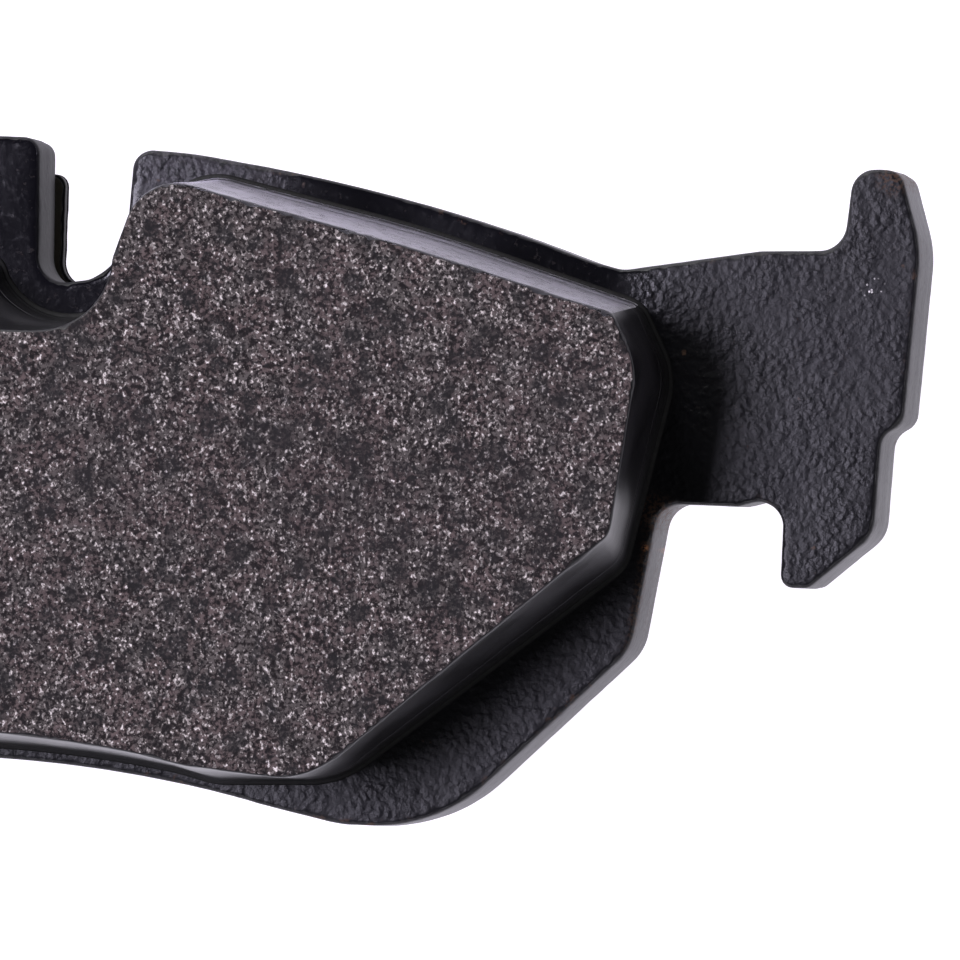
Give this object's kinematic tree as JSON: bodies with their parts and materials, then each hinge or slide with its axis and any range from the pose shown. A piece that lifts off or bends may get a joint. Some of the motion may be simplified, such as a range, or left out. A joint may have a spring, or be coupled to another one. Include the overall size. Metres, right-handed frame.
{
  "type": "disc brake pad",
  "caption": "Piston-side disc brake pad: steel backing plate with hammerhead ears and a notched sensor tab, friction block, noise shim and a sprung piston clip.",
  "frame": {"origin": "under the middle of the pad's outline, on the plane of the piston clip's three feet", "axes": "+X along the pad to its right ear with the sensor tab up, +Y away from the wheel axle, +Z from the piston towards the disc"},
  "size_m": [0.123, 0.0436, 0.0295],
  "materials": {
    "coated_steel": "black powder coat over stamped steel, semi-gloss with orange peel",
    "bond": "cured phenolic bond film",
    "underlayer": "moulded phenolic underlayer, matt",
    "friction": "ground semi-metallic friction compound with bright flecks",
    "adhesive": "pressure-sensitive adhesive",
    "shim_rubber": "thin vulcanised rubber coat, matt",
    "shim_steel": "cold-rolled sheet steel",
    "spring_steel": "zinc-plated spring steel strip",
    "rivet_steel": "zinc-plated rivet"
  },
  "bodies": {
    "pad": {"backing_plate": "coated_steel", "bond_film": "bond", "underlayer": "underlayer", "friction_lining": "friction", "shim_adhesive": "adhesive", "shim_inner_rubber": "shim_rubber", "shim_steel_core": "shim_steel", "shim_outer_rubber": "shim_rubber", "piston_clip_hub": "spring_steel", "clip_rivet_left": "rivet_steel", "clip_rivet_right": "rivet_steel"},
    "leg_lower": {"piston_clip_leg_lower": "spring_steel"},
    "leg_left": {"piston_clip_leg_left": "spring_steel"},
    "leg_right": {"piston_clip_leg_right": "spring_steel"}
  },
  "joints": [
    {"name": "leg_lower_flex", "type": "hinge", "parent": "pad", "child": "leg_lower", "pos_m": [0, -0.01355, 0.01183], "axis": [1, 0, 0], "range_deg": [0, 8], "stiffness_Nm_per_rad": 1.5},
    {"name": "leg_left_flex", "type": "hinge", "parent": "pad", "child": "leg_left", "pos_m": [-0.01173, 0.00677, 0.01183], "axis": [-0.5, -0.866, 0], "range_deg": [0, 8], "stiffness_Nm_per_rad": 1.5},
    {"name": "leg_right_flex", "type": "hinge", "parent": "pad", "child": "leg_right", "pos_m": [0.01173, 0.00677, 0.01183], "axis": [-0.5, 0.866, 0], "range_deg": [0, 8], "stiffness_Nm_per_rad": 1.5}
  ]
}
